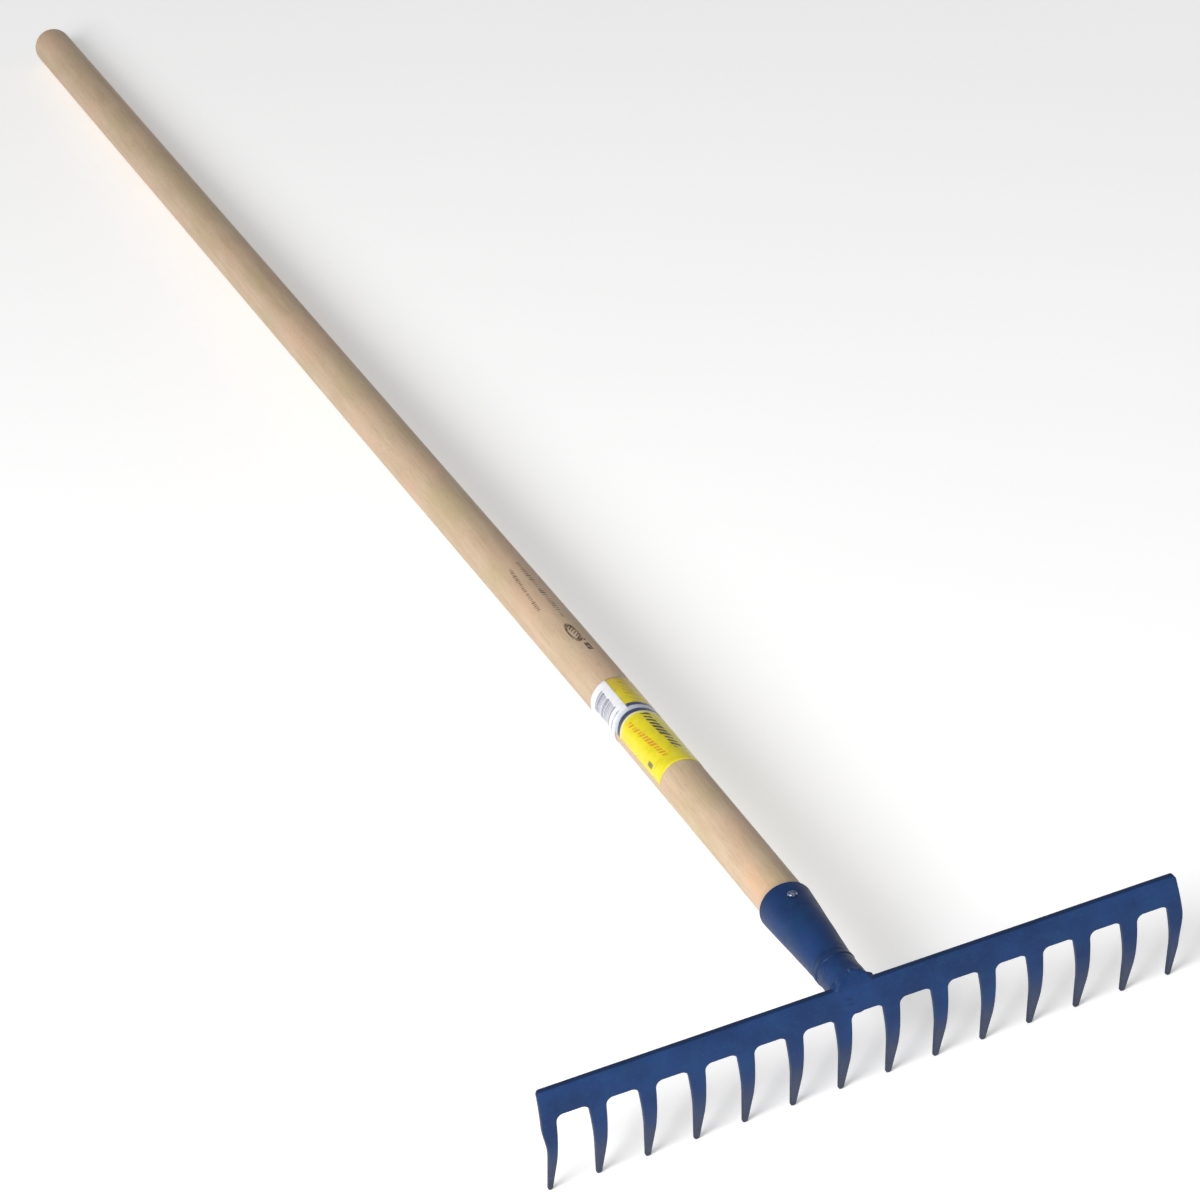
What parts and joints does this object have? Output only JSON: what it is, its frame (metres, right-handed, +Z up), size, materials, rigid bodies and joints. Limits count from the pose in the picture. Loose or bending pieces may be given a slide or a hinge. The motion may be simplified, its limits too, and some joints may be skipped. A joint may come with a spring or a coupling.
{
  "type": "garden rake",
  "caption": "Garden rake: a curved-tooth steel comb on a short neck and rolled socket, nailed to a long round wooden handle.",
  "frame": {"origin": "centre of the footprint on the floor that the rake lies on, on its tooth tips and the butt of its handle", "axes": "+Y from the comb to the butt of the handle, +X along the comb, +Z up"},
  "size_m": [0.3624, 1.556, 0.0788],
  "materials": {
    "handle_wood": "sanded pale ash, unvarnished, closed grain along the pole",
    "blue_paint": "semi-gloss dark blue enamel over forged steel, worn on edges and tips",
    "weld_paint": "the same enamel, uneven over the weld beads",
    "nail_steel": "bright nail head with chipped paint",
    "label_film": "glossy printed yellow film",
    "sticker_paper": "smooth coated white sticker with a plain bar pattern"
  },
  "bodies": {
    "root": {"handle": "handle_wood", "socket": "blue_paint", "neck": "blue_paint", "tooth_bar": "blue_paint", "socket_weld": "weld_paint", "bar_weld": "weld_paint", "handle_nail": "nail_steel", "label": "label_film", "code_sticker": "sticker_paper"}
  },
  "joints": []
}
